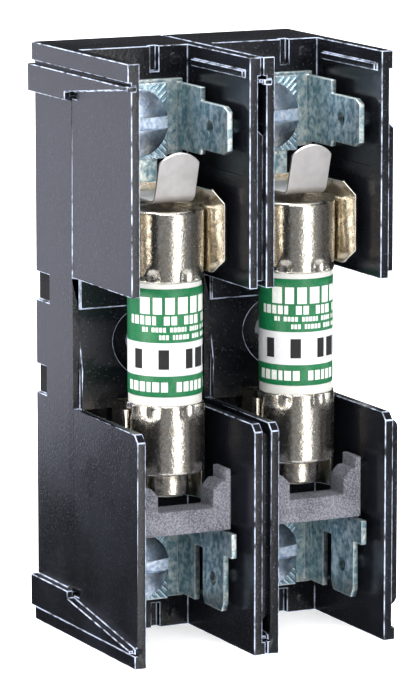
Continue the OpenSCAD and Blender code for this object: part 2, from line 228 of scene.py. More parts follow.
class Surface(Graph):
    """The node tree of one material, with a Principled shader at its end."""

    def __init__(self, name: str) -> None:
        """Makes the material.

        Args:
            name: The material's name.
        """
        material = bpy.data.materials.new(name)
        material.use_nodes = True
        super().__init__(material.node_tree)
        self.material = material
        self.tree.nodes.clear()
        self.shader = self.node("ShaderNodeBsdfPrincipled")
        self.node("ShaderNodeOutputMaterial", None, {"Surface": Wire(self, self.shader.outputs[0])})
        self.place = self.wire("ShaderNodeTexCoord", "Object")
        self.rim = self.wire("ShaderNodeAttribute", "Fac", {"attribute_name": RIM})

    def set(self, **values: object) -> None:
        """Feeds the shader's sockets, with underscores for the spaces in their names."""
        for key, value in values.items():
            self.feed(self.shader.inputs[key.replace("_", " ")], value)

    def scaled(self, scale: Triple) -> Wire:
        """Gives the surface's place, scaled along each axis.

        Args:
            scale: The scale along X, Y and Z.

        Returns:
            The scaled place.
        """
        return self.wire("ShaderNodeVectorMath", 0, {"operation": "MULTIPLY"}, {0: self.place, 1: scale})

    def noise(self, size: float, detail: float = 3.0, stretch: Triple = (1, 1, 1)) -> Wire:
        """Gives a noise value from about 0.3 to 0.7.

        Args:
            size: The size of its features.
            detail: How many finer layers it has.
            stretch: How much finer it is along each axis.

        Returns:
            The noise.
        """
        return self.wire("ShaderNodeTexNoise", 0, None,
                         {"Vector": self.scaled(stretch), "Scale": 1 / size, "Detail": detail})

    def grains(self, size: float) -> Wire:
        """Gives the distance to the nearest of many scattered points.

        Args:
            size: The spacing of the points.

        Returns:
            The distance, from 0 to about 1.
        """
        return self.wire("ShaderNodeTexVoronoi", 0, None, {"Vector": self.place, "Scale": 1 / size})

    def mix(self, first: Wire | Colour, second: Wire | Colour, factor: Term) -> Wire:
        """Mixes two colours.

        Args:
            first: The colour at factor 0.
            second: The colour at factor 1.
            factor: How much of the second colour shows.

        Returns:
            The mixed colour.
        """
        inputs = dict(zip(MIXING, (factor, first, second)))
        return self.wire("ShaderNodeMix", MIXED, {"data_type": "RGBA"}, inputs)

    def bump(self, height: Wire, depth: float) -> Wire:
        """Turns a height into a bumped normal.

        Args:
            height: The height, from 0 to 1.
            depth: The real height of 1.

        Returns:
            The normal.
        """
        return self.wire("ShaderNodeBump", 0, None, {"Strength": 1.0, "Distance": depth, "Height": height})


class Finish:
    """What a surface is made of and how it looks."""

    def material(self, name: str) -> bpy.types.Material:
        """Makes the finish's material.

        Args:
            name: The material's name.

        Returns:
            The material.
        """
        surface = Surface(name)
        self.dress(surface)
        return surface.material

    def dress(self, surface: Surface) -> None:
        """Feeds the shader. Each finish has its own way."""
        raise NotImplementedError


@dataclass(frozen=True)
class MouldedPlastic(Finish):
    """Black moulded thermoplastic: a fine grain, pale filler flecks and a painted bluish highlight laid in
    patches on its rounded edges.
    """

    colour: Colour = (0.0045, 0.005, 0.0068)
    cloud_colour: Colour = (0.0075, 0.0085, 0.0125)
    fleck_colour: Colour = (0.045, 0.048, 0.06)
    # Pale bluish colour of the painted highlight on the rounded edges.
    rim_highlight_colour: Colour = (0.42, 0.48, 0.62)
    roughness: Span = (0.17, 0.27)
    rim_roughness: float = 0.28
    # Size and span of the noise patches that the painted edge highlight is laid in.
    highlight_patch_size: float = 1.6 * MM
    highlight_patch_span: Span = (0.3, 0.6)
    cloud_size: float = 9 * MM
    cloud_span: Span = (0.35, 0.65)
    grain_size: float = 0.42 * MM
    grain_depth: float = 0.02 * MM
    fleck_size: float = 0.5 * MM
    fleck_span: Span = (0.16, 0.26)
    fleck_strength: float = 0.5
    fleck_rise: float = 0.2
    ior: float = 1.48

    def dress(self, surface: Surface) -> None:
        """Feeds the shader.

        Args:
            surface: The material's nodes.
        """
        cloud = surface.noise(self.cloud_size, 4).ramp(self.cloud_span)
        grain = surface.noise(self.grain_size, 2)
        fleck = 1 - surface.grains(self.fleck_size).ramp(self.fleck_span)
        # Painted highlight: the rounded edges are mixed in patches towards a pale bluish colour that stands
        # for bright edge lines of light.
        edge_highlight = surface.rim * surface.noise(self.highlight_patch_size).ramp(self.highlight_patch_span)
        body = surface.mix(self.colour, self.cloud_colour, cloud)
        flecked = surface.mix(body, self.fleck_colour, fleck * self.fleck_strength)
        low, high = self.roughness
        body_roughness = low + (high - low) / 2 * (cloud + grain)
        surface.set(
            Base_Color=surface.mix(flecked, self.rim_highlight_colour, edge_highlight),
            Roughness=body_roughness + edge_highlight * (self.rim_roughness - body_roughness),
            Normal=surface.bump(grain + fleck * self.fleck_rise, self.grain_depth),
            IOR=self.ior,
        )


@dataclass(frozen=True)
class SparkTexture(Finish):
    """Dark moulded thermoplastic with the coarse matte texture of an eroded mould, its raised grain painted a
    lighter grey as a highlight, with a random cloud of tone.
    """

    colour: Colour = (0.05, 0.051, 0.064)
    # Lighter grey of the painted highlight on the raised grain.
    peak_highlight_colour: Colour = (0.22, 0.224, 0.265)
    roughness: float = 0.55
    pit_roughness: float = 0.12
    pit_size: float = 0.24 * MM
    pit_span: Span = (0.36, 0.66)
    pit_share: float = 0.7
    pit_depth: float = 0.05 * MM
    cloud_size: float = 3 * MM
    cloud_span: Span = (0.3, 0.7)

    def dress(self, surface: Surface) -> None:
        """Feeds the shader.

        Args:
            surface: The material's nodes.
        """
        pits = surface.noise(self.pit_size).ramp(self.pit_span)
        cloud = surface.noise(self.cloud_size, 2).ramp(self.cloud_span)
        # Painted highlight: the higher the grain, the nearer the colour comes to the lighter grey, with some
        # random cloud mixed in.
        shade = pits * self.pit_share + cloud * (1 - self.pit_share)
        surface.set(
            Base_Color=surface.mix(self.colour, self.peak_highlight_colour, shade),
            Roughness=self.roughness + self.pit_roughness * (1 - pits),
            Normal=surface.bump(pits, self.pit_depth),
        )


@dataclass(frozen=True)
class Plating(Finish):
    """Plated metal whose tint and gloss drift, over a dimpled sheet, with a painted near-white highlight on
    its rims.
    """

    colour: Colour
    tint: Colour
    roughness: Span
    drift: float = 3.2 * MM
    drift_span: Span = (0.36, 0.64)
    drift_in_tint: float = 0.6
    drift_in_gloss: float = 0.45
    brush: Triple = (1.0, 1.0, 1.0)
    brush_size: float = 0.3 * MM
    brush_depth: float = 0.003 * MM
    dimple_size: float = 0.9 * MM
    dimple_span: Span = (0.35, 0.65)
    dimple_depth: float = 0.01 * MM
    # Near-white colour of the painted highlight on the rounded rims, and how much of it shows.
    rim_highlight_colour: Colour = (0.93, 0.93, 0.92)
    rim_highlight_share: float = 0.5

    def dress(self, surface: Surface) -> None:
        """Feeds the shader.

        Args:
            surface: The material's nodes.
        """
        drift = surface.noise(self.drift).ramp(self.drift_span)
        brush = surface.noise(self.brush_size, stretch=self.brush)
        dimple = surface.noise(self.dimple_size, 2)
        low, high = self.roughness
        tinted = drift * self.drift_in_tint + dimple.ramp(self.dimple_span) * (1 - self.drift_in_tint)
        gloss = drift * self.drift_in_gloss + brush * (1 - self.drift_in_gloss)
        sheet = surface.mix(self.colour, self.tint, tinted)
        depth = self.brush_depth + self.dimple_depth
        height = brush * (self.brush_depth / depth) + dimple * (self.dimple_depth / depth)
        surface.set(
            # The rims are mixed towards near white: a painted highlight.
            Base_Color=surface.mix(sheet, self.rim_highlight_colour, surface.rim * self.rim_highlight_share),
            Metallic=1.0,
            Roughness=low + (high - low) * gloss,
            Normal=surface.bump(height, depth),
        )


@dataclass(frozen=True)
class FibreTube(Finish):
    """Off-white wound tube with a faint weave."""

    colour: Colour = (0.52, 0.52, 0.50)
    shade: Colour = (0.40, 0.40, 0.38)
    weave: float = 0.28 * MM
    weave_stretch: Triple = (0.4, 0.4, 3.0)
    weave_strength: float = 0.6
    weave_depth: float = 0.02 * MM
    cloud_size: float = 2.5 * MM
    cloud_span: Span = (0.3, 0.7)
    cloud_strength: float = 0.2
    roughness: Span = (0.5, 0.65)

    def dress(self, surface: Surface) -> None:
        """Feeds the shader.

        Args:
            surface: The material's nodes.
        """
        strands = surface.noise(self.weave, 2, self.weave_stretch)
        cloud = surface.noise(self.cloud_size).ramp(self.cloud_span)
        shade = strands * self.weave_strength + cloud * self.cloud_strength
        low, high = self.roughness
        surface.set(
            Base_Color=surface.mix(self.colour, self.shade, shade),
            Roughness=low + (high - low) * strands,
            Normal=surface.bump(strands, self.weave_depth),
        )


@dataclass(frozen=True)
class BandedWrap(Finish):
    """Printed wrap in two colours, set in bands along Z."""

    band: Colour = (0.0, 0.10, 0.032)
    worn_band: Colour = (0.004, 0.139, 0.0472)
    paper: Colour = (0.52, 0.52, 0.54)
    worn_paper: Colour = (0.4836, 0.4836, 0.5022)
    white_from: float = -2.3 * MM
    white_to: float = 2.1 * MM
    edge: float = 0.03 * MM
    fibre_size: float = 0.4 * MM
    fibre_span: Span = (0.3, 0.7)
    fibre_depth: float = 0.006 * MM
    roughness: Span = (0.34, 0.48)

    def dress(self, surface: Surface) -> None:
        """Feeds the shader.

        Args:
            surface: The material's nodes.
        """
        height = surface.wire("ShaderNodeSeparateXYZ", "Z", None, {0: surface.place})
        above = height.ramp((self.white_from - self.edge, self.white_from + self.edge))
        below = 1 - height.ramp((self.white_to - self.edge, self.white_to + self.edge))
        fibre = surface.noise(self.fibre_size, 4)
        wear = fibre.ramp(self.fibre_span)
        ink = surface.mix(self.band, self.worn_band, wear)
        paper = surface.mix(self.paper, self.worn_paper, wear)
        low, high = self.roughness
        surface.set(
            Base_Color=surface.mix(ink, paper, above * below),
            Roughness=low + (high - low) * fibre,
            Normal=surface.bump(fibre, self.fibre_depth),
        )


@dataclass(frozen=True)
class Matt(Finish):
    """Plain stuff with a speckle, such as ink, sand or copper strip."""

    colour: Colour
    speckle: Colour
    roughness: float
    size: float
    depth: float
    metallic: float = 0.0
    span: Span = (0.35, 0.65)
    speckle_roughness: float = 0.1

    def dress(self, surface: Surface) -> None:
        """Feeds the shader.

        Args:
            surface: The material's nodes.
        """
        grain = surface.noise(self.size).ramp(self.span)
        surface.set(
            Base_Color=surface.mix(self.colour, self.speckle, grain),
            Roughness=self.roughness + self.speckle_roughness * grain,
            Metallic=self.metallic,
            Normal=surface.bump(grain, self.depth),
        )


class Finishes:
    """Every material of the block, made once."""

    def __init__(self) -> None:
        """Makes the materials."""
        self.housing = MouldedPlastic().material("black_moulding")
        # Painted shade: the pocket floors get a darker, matt black that stands for the shade in these
        # recesses.
        self.pocket = Matt(
            colour=(0.003, 0.003, 0.0034), speckle=(0.006, 0.006, 0.007), roughness=0.8,
            size=0.3 * MM, depth=0.02 * MM).material("pocket_painted_shade")
        self.rejection = SparkTexture().material("eroded_moulding")
        self.terminal = Plating(
            colour=(0.90, 0.97, 0.95), tint=(0.24, 0.42, 0.50), roughness=(0.32, 0.58), drift=1.4 * MM,
            brush_depth=0.01 * MM, dimple_size=0.7 * MM, dimple_depth=0.09 * MM).material("blue_zinc")
        self.clamp = Plating(
            colour=(0.60, 0.74, 0.82), tint=(0.28, 0.44, 0.55), roughness=(0.20, 0.40), drift=1.5 * MM,
            dimple_size=0.7 * MM, dimple_depth=0.04 * MM).material("zinc_clamp")
        self.screw = Plating(
            colour=(0.72, 0.80, 0.92), tint=(0.34, 0.46, 0.64), roughness=(0.28, 0.46), drift=0.7 * MM,
            brush_depth=0.012 * MM, dimple_size=0.45 * MM, dimple_depth=0.03 * MM).material("zinc_screw")
        self.clip = Plating(
            colour=(0.86, 0.81, 0.71), tint=(0.66, 0.58, 0.45), roughness=(0.12, 0.28), drift=1.6 * MM,
            dimple_size=0.6 * MM, dimple_depth=0.03 * MM).material("nickel_clip")
        self.cap = Plating(
            colour=(0.93, 0.90, 0.83), tint=(0.62, 0.56, 0.48), roughness=(0.16, 0.32), drift=0.9 * MM,
            brush_depth=0.012 * MM, dimple_size=0.42 * MM, dimple_depth=0.034 * MM).material("nickel_cap")
        self.spring = Plating(
            colour=(0.72, 0.70, 0.70), tint=(0.64, 0.62, 0.62), roughness=(0.46, 0.58),
            brush=(4.0, 1.0, 0.25), brush_depth=0.004 * MM, dimple_depth=0.004 * MM).material("spring_leaf")
        self.rivet = Plating(
            colour=(0.66, 0.67, 0.69), tint=(0.45, 0.46, 0.48), roughness=(0.2, 0.35)).material("rivet_steel")
        self.tube = FibreTube().material("fibre_tube")
        self.wrap = BandedWrap().material("banded_wrap")
        self.white_ink = Matt(
            colour=(0.60, 0.61, 0.59), speckle=(0.50, 0.53, 0.49), roughness=0.42,
            size=0.2 * MM, depth=0.004 * MM).material("white_ink")
        self.black_ink = Matt(
            colour=(0.004, 0.004, 0.005), speckle=(0.01, 0.01, 0.011), roughness=0.6,
            size=0.2 * MM, depth=0.004 * MM).material("black_ink")
        self.sand = Matt(
            colour=(0.62, 0.55, 0.42), speckle=(0.42, 0.36, 0.27), roughness=0.8,
            size=0.25 * MM, depth=0.08 * MM).material("sand")
        self.copper = Matt(
            colour=(0.80, 0.42, 0.24), speckle=(0.62, 0.30, 0.17), roughness=0.25,
            size=0.4 * MM, depth=0.004 * MM, metallic=1.0).material("copper_strip")


def has_room(edge: bmesh.types.BMEdge, width: float) -> bool:
    """Says whether a rounding of some width fits on an edge.

    Args:
        edge: The edge.
        width: How far the rounding would reach from it.

    Returns:
        Whether its faces and its neighbours are large enough.
    """
    length = edge.calc_length()
    if length < ROOM_ALONG * width:
        return False
    if any(face.calc_area() / length < ROOM_ACROSS * width for face in edge.link_faces):
        return False
    return all(e.calc_length() > ROOM_BESIDE * width for v in edge.verts for e in v.link_edges)


class Form:
    """A mesh in the making, which becomes one named piece."""

    def __init__(self) -> None:
        """Starts an empty mesh."""
        self.mesh = bmesh.new()

    @classmethod
    def of_node(cls, node: str) -> "Form":
        """Starts from a CAD node's own surfaces, with its flat faces made whole.

        Args:
            node: The node's name.

        Returns:
            The form.
        """
        form = cls()
        form.mesh.from_mesh(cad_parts[node].data)
        bmesh.ops.remove_doubles(form.mesh, verts=form.mesh.verts, dist=JOIN_GAP)
        bmesh.ops.dissolve_limit(form.mesh, angle_limit=math.radians(FLAT_ANGLE), verts=form.mesh.verts,
                                 edges=form.mesh.edges)
        return form

    def _rim_layer(self) -> bmesh.types.BMLayerItem:
        """Gives the face layer that says how much of a face is rim, and makes it if need be."""
        return self.mesh.faces.layers.float.get(RIM) or self.mesh.faces.layers.float.new(RIM)

    def bevel(self, width: float, steps: int = 2, sharp: float = 35,
              where: Callable[[bmesh.types.BMEdge], bool] | None = None) -> "Form":
        """Rounds the sharp edges that have room for it, and marks the rounding as rim.

        Args:
            width: How far the rounding reaches from an edge.
            steps: How many faces it has across.
            sharp: The least angle of an edge that is rounded, in degrees.
            where: Says whether an edge counts. All count without it.

        Returns:
            The form itself.
        """
        rim = self._rim_layer()
        edges = [
            e for e in self.mesh.edges
            if e.is_manifold and e.calc_face_angle(0) > math.radians(sharp) and has_room(e, width)
            and (where is None or where(e))
        ]
        done = bmesh.ops.bevel(self.mesh, geom=edges, offset=width, offset_type="OFFSET", segments=steps,
                               profile=0.5, affect="EDGES", clamp_overlap=False)
        for face in done["faces"]:
            if face.is_valid:
                face[rim] = 1.0
        return self

    def lathe(self, profile: Sequence[Point], centre: Vector, turns: int,
              dent: Callable[[float, float], float] | None = None, closed: bool = True) -> "Form":
        """Turns an outline about a line along Z.

        Args:
            profile: (radius, height) points round the section.
            centre: A point on the line.
            turns: How many steps go round.
            dent: Gives how much shorter the radius is at an angle and a height.
            closed: Whether the last point joins the first.

        Returns:
            The form itself.
        """
        rings = []
        for radius, height in profile:
            if radius == 0:
                rings.append([self.mesh.verts.new((centre.x, centre.y, height))] * turns)
                continue
            ring = []
            for step in range(turns):
                angle = 2 * math.pi * step / turns
                reach = radius - (dent(angle, height) if dent else 0)
                ring.append(self.mesh.verts.new((centre.x + reach * math.cos(angle),
                                                 centre.y + reach * math.sin(angle), height)))
            rings.append(ring)
        pairs = list(zip(rings, rings[1:])) + ([(rings[-1], rings[0])] if closed else [])
        for low, high in pairs:
            for step in range(turns):
                following = (step + 1) % turns
                corners = dict.fromkeys((low[step], low[following], high[following], high[step]))
                if len(corners) > 2:
                    self.mesh.faces.new(list(corners))
        bmesh.ops.recalc_face_normals(self.mesh, faces=self.mesh.faces)
        return self

    def slab(self, outline: Sequence[Vector], push: Vector) -> "Form":
        """Adds a closed solid between a flat outline and its copy.

        Args:
            outline: The outline's points in order.
            push: From the outline to its copy.

        Returns:
            The form itself.
        """
        near = [self.mesh.verts.new(p) for p in outline]
        far = [self.mesh.verts.new(p + push) for p in outline]
        faces = [self.mesh.faces.new(near), self.mesh.faces.new(list(reversed(far)))]
        for i, corner in enumerate(near):
            j = (i + 1) % len(near)
            faces.append(self.mesh.faces.new([near[j], corner, far[i], far[j]]))
        bmesh.ops.recalc_face_normals(self.mesh, faces=faces)
        return self

    def loft(self, rings: Sequence[Sequence[Vector]], rims: frozenset[int] = frozenset()) -> "Form":
        """Adds a closed skin through rings of points, with a face at each end.

        Args:
            rings: Rings with equal numbers of points.
            rims: Which points of a ring start a face that counts as rim.

        Returns:
            The form itself.
        """
        rim = self._rim_layer()
        made = [[self.mesh.verts.new(p) for p in ring] for ring in rings]
        count = len(made[0])
        faces = [self.mesh.faces.new(list(reversed(made[0]))), self.mesh.faces.new(made[-1])]
        for low, high in zip(made, made[1:]):
            for i in range(count):
                j = (i + 1) % count
                face = self.mesh.faces.new([low[i], low[j], high[j], high[i]])
                face[rim] = 1.0 if i in rims else 0.0
                faces.append(face)
        bmesh.ops.recalc_face_normals(self.mesh, faces=faces)
        return self

    def piece(self, name: str, material: bpy.types.Material, body: str, slot: str,
              stands_for: str | None = None, smooth: float = 50) -> bpy.types.Object:
        """Makes the form a piece that rides on a body.

        Args:
            name: The piece's name.
            material: Its material.
            body: The body that it rides on.
            slot: The record's material slot. Not used.
            stands_for: The CAD node that it replaces.
            smooth: Edges flatter than this many degrees are shaded smooth.

        Returns:
            The piece.
        """
        data = bpy.data.meshes.new(name)
        self.mesh.to_mesh(data)
        self.mesh.free()
        data.shade_smooth()
        data.set_sharp_from_angle(angle=math.radians(smooth))
        made = bpy.data.objects.new(name, data)
        bpy.context.scene.collection.objects.link(made)
        data.materials.append(material)
        weighted = made.modifiers.new("even_shading", "WEIGHTED_NORMAL")
        weighted.keep_sharp = True
        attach(made, body)
        if stands_for:
            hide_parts(stands_for)
        LOG.info("made %s, %d faces", name, len(data.polygons))
        return made


def middle(node: str) -> Vector:
    """Gives the middle of a CAD node's box."""
    low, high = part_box(node)
    return (low + high) / 2


def quarter_turn() -> list[Point]:
    """Gives the (cosine, sine) of even steps over a quarter of a turn."""
    turns = [math.pi / 2 * i / QUARTER_STEPS for i in range(QUARTER_STEPS + 1)]
    return [(math.cos(turn), math.sin(turn)) for turn in turns]


@dataclass
class PolePart:
    """A part of one pole."""

    side: Side

    @property
    def pole(self) -> str:
        """The first word of the names of the pole's nodes."""
        return self.side.value

    def ease(self, part: str, name: str, material: bpy.types.Material, slot: str, edge: float,
             steps: int = 2) -> None:
        """Makes a CAD node a piece that rides on the root, with its edges rounded.

        Args:
            part: The node's name after the pole's.
            name: The piece's name after the pole's.
            material: Its material.
            slot: The record's material slot.
            edge: How far the rounding reaches.
            steps: How many faces it has across.
        """
        node = f"{self.pole}_{part}"
        Form.of_node(node).bevel(edge, steps).piece(f"{self.pole}_{name}", material, "root", slot, node)


@dataclass
class PoleMoulding(PolePart):
    """One pole's black moulding, whose pockets in the sides of its base get a darker, matt black as painted
    shade.
    """

    edge: float = 0.12 * MM
    half_width: float = 9.05 * MM
    crease: float = 0.06 * MM
    soft_crease: float = 0.015 * MM
    pocket_depth: float = 0.5 * MM
    painted_shade_index: int = 1
    slack: float = 0.01 * MM

    def build(self, finishes: Finishes) -> None:
        """Builds and dresses the moulding.

        Args:
            finishes: The materials.
        """
        node = f"{self.pole}_pole_body"
        centre = middle(f"{self.pole}_fuse_tube").x
        form = Form.of_node(node)
        for corner in form.mesh.verts:
            reach = corner.co.x - centre
            if abs(abs(reach) - self.half_width + self.crease) < self.slack:
                corner.co.x = centre + math.copysign(self.half_width - self.soft_crease, reach)
        # Faces on the pockets' floors take the second material, the darker matt black painted as their shade.
        for face in form.mesh.faces:
            reach = abs(face.calc_center_median().x - centre)
            if abs(reach - self.half_width + self.pocket_depth) < self.slack:
                face.material_index = self.painted_shade_index
        made = form.bevel(self.edge).piece(f"{self.pole}_moulding", finishes.housing, "root", "housing", node)
        made.data.materials.append(finishes.pocket)


@dataclass
class RejectionFrame(PolePart):
    """The textured frame that only the right fuse's tip can enter."""

    edge: float = 0.22 * MM
    edge_steps: int = 3

    def build(self, finishes: Finishes) -> None:
        """Builds and dresses the frame."""
        self.ease("rejection_plate", "rejection_frame", finishes.rejection, "rejection_moulding", self.edge,
                  self.edge_steps)


@dataclass
class Terminal(PolePart):
    """A stamped terminal plate with its push-on tab, bent up with a round corner."""

    end: End
    edge: float = 0.12 * MM
    bend: float = 0.6 * MM
    bend_steps: int = 5

    def build(self, finishes: Finishes) -> None:
        """Builds and dresses the plate.

        Args:
            finishes: The materials.
        """
        node = f"{self.pole}_{self.end.value}_terminal"
        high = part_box(node)[1]
        form = Form.of_node(node)
        form.bevel(self.bend, self.bend_steps, where=lambda e: all(
            abs(v.co.x - high.x) < self.edge and abs(v.co.y - high.y) < self.edge for v in e.verts))
        form.bevel(self.edge).piece(f"{node}_stamping", finishes.terminal, "root", "terminal_zinc", node)


@dataclass
class SpringClip(PolePart):
    """The clip round one end cap."""

    end: End
    edge: float = 0.1 * MM

    def build(self, finishes: Finishes) -> None:
        """Builds and dresses the clip."""
        part = f"{self.end.value}_clip"
        self.ease(part, f"{part}_strip", finishes.clip, "clip_nickel", self.edge)


@dataclass
class EndSpring(PolePart):
    """The leaf that runs over the upper end of a fuse and turns up in front."""

    thick: float = 0.4 * MM
    arm_rise: float = 9.3 * MM
    lean: float = 2.0 * MM
    tip_radius: float = 3.8 * MM
    bends: Span = (0.7 * MM, 1.3 * MM)
    bend_steps: int = 8
    tip_steps: int = 24
    corner: float = 0.1 * MM
    cut_corners: frozenset[int] = frozenset((0, 2, 4, 6))

    def build(self, finishes: Finishes) -> None:
        """Builds and dresses the leaf.

        Args:
            finishes: The materials.
        """
        node = f"{self.pole}_end_spring"
        low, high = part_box(node)
        half = (high.x - low.x) / 2
        rings = []
        for at, along in self._route(low, high):
            out = Vector((0, -along.z, along.y)).normalized()
            reach = self._half_width(high.z - at.z, half) if at.y < low.y + self.lean + self.thick else half
            rings.append([at + Vector((across, 0, 0)) + out * up for across, up in self._section(reach)])
        Form().loft(rings, self.cut_corners).piece(
            f"{self.pole}_spring_leaf", finishes.spring, "root", "spring_steel", node)

    def _route(self, low: Vector, high: Vector) -> list[tuple[Vector, Vector]]:
        """Gives points and directions along the leaf's middle, from its foot to its tip.

        Args:
            low: The low corner of the CAD leaf.
            high: Its high corner.

        Returns:
            The points and directions.
        """
        x, half_t = (low.x + high.x) / 2, self.thick / 2
        arm_z = low.z + self.arm_rise + half_t
        corners = [Vector((x, high.y - half_t, low.z)), Vector((x, high.y - half_t, arm_z)),
                   Vector((x, low.y + self.lean + half_t, arm_z)), Vector((x, low.y + half_t, high.z))]
        legs = [(b - a).normalized() for a, b in zip(corners, corners[1:])]
        route = [(corners[0], legs[0])]
        for corner, radius, before, after in zip(corners[1:3], self.bends, legs, legs[1:]):
            turn = before.angle(after)
            start = corner - before * radius * math.tan(turn / 2)
            side = (after - before * before.dot(after)).normalized()
            for step in range(self.bend_steps + 1):
                angle = turn * step / self.bend_steps
                at = start + before * radius * math.sin(angle) + side * radius * (1 - math.cos(angle))
                route.append((at, before * math.cos(angle) + side * math.sin(angle)))
        start = route[-1][0]
        for step in range(1, self.tip_steps + 1):
            share = 1 - (1 - step / self.tip_steps) ** 2
            route.append((start.lerp(corners[-1], share), legs[-1]))
        return route

    def _half_width(self, below_tip: float, half: float) -> float:
        """Gives half the width of the leaf near its round tip."""
        inside = max(self.tip_radius - below_tip, 0)
        return max(min(half, math.sqrt(max(self.tip_radius ** 2 - inside ** 2, 0))), 2 * self.corner)

    def _section(self, half: float) -> list[Point]:
        """Gives the leaf's section as (across, up) points, with its corners cut."""
        t, c = self.thick / 2, self.corner
        under = [(-half, c - t), (c - half, -t), (half - c, -t), (half, c - t)]
        return under + [(x, -y) for x, y in reversed(under)]


@dataclass
class WireClamp(PolePart):
    """A clamp plate, with pressed ridges in its corners, and the slotted screw that draws it in."""

    end: End
    edge: float = 0.12 * MM
    ridge_step: float = 0.66 * MM
    ridge_r: float = 0.2 * MM
    ridge_from: float = 4.8 * MM
    ridge_sides: int = 8
    margin: float = 0.35 * MM
    ridges: int = 5

    def build(self, finishes: Finishes) -> None:
        """Builds and dresses the plate and the screw.

        Args:
            finishes: The materials.
        """
        stem = f"{self.pole}_{self.end.value}"
        node, screw = f"{stem}_clamp_plate", f"{stem}_screw"
        plate = Form.of_node(node).bevel(self.edge)
        self._press_ridges(plate, node)
        plate.piece(f"{stem}_clamp_square", finishes.clamp, f"{stem}_clamp", "clamp_zinc", node)
        Form.of_node(screw).bevel(self.edge).piece(
            f"{stem}_slotted_screw", finishes.screw, screw, "screw_zinc", screw)

    def _press_ridges(self, plate: Form, node: str) -> None:
        """Adds ridges that run out to each corner of the plate.

        Args:
            plate: The plate's form.
            node: The CAD plate.
        """
        low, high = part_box(node)
        centre = Vector(((low.x + high.x) / 2, low.y, (low.z + high.z) / 2))
        corner = (high.x - low.x) / math.sqrt(2)
        front = Vector((0, -1, 0))
        for x, z in ((1, 1), (-1, 1), (-1, -1), (1, -1)):
            out = Vector((x, 0, z)).normalized()
            across = out.cross(front)
            for n in range(self.ridges):
                offset = (n - (self.ridges - 1) / 2) * self.ridge_step
                start = math.sqrt(max(self.ridge_from ** 2 - offset ** 2, 0))
                length = corner - abs(offset) - self.margin - start
                if length < self.ridge_step:
                    continue
                foot = centre + out * start + across * offset
                turns = [math.pi * k / self.ridge_sides for k in range(self.ridge_sides + 1)]
                outline = [foot + (across * math.cos(t) + front * math.sin(t)) * self.ridge_r for t in turns]
                plate.slab(outline, out * length)


@dataclass
class Rivets(PolePart):
    """The four rivets of one pole."""

    edge: float = 0.15 * MM

    def build(self, finishes: Finishes) -> None:
        """Builds and dresses the rivets."""
        self.ease("rivets", "rivet_set", finishes.rivet, "rivet_steel", self.edge)


@dataclass(frozen=True)
class PrintRow:
    """One row of plain printed blocks.

    Bearings are in degrees from the front, and widths and gaps in heights of the row.
    """

    height: float
    tall: float
    starts: float
    dark: bool = False
    stops: float = 78.0
    ink: float = 0.015 * MM
    sunk: float = 0.02 * MM
    widths: Span = (0.42, 0.72)
    facet: float = 4.0
    gap: float = 0.2
    word_gap: float = 0.9
    word_ends: float = 0.18

    def print_on(self, form: Form, axis: Vector, radius: float, seed: int) -> None:
        """Adds the row's blocks to a form.

        Args:
            form: The form.
            axis: A point on the fuse's axis.
            radius: The radius of the wrap.
            seed: The seed of the blocks' widths.
        """
        draw = Random(seed)
        foot, half = Vector((axis.x, axis.y, self.height)), Vector((0, 0, self.tall / 2))
        low, high = radius - self.sunk, radius + self.ink
        bearing = self.starts
        while bearing < self.stops:
            wide = math.degrees(self.tall * draw.uniform(*self.widths) / radius)
            steps = max(2, round(wide / self.facet))
            rings = []
            for step in range(steps + 1):
                turn = math.radians(bearing + wide * step / steps)
                way = Vector((math.sin(turn), -math.cos(turn), 0))
                rings.append([foot + way * low - half, foot + way * high - half,
                              foot + way * high + half, foot + way * low + half])
            form.loft(rings)
            gap = self.word_gap if draw.random() < self.word_ends else self.gap
            bearing += wide + math.degrees(self.tall * gap / radius)


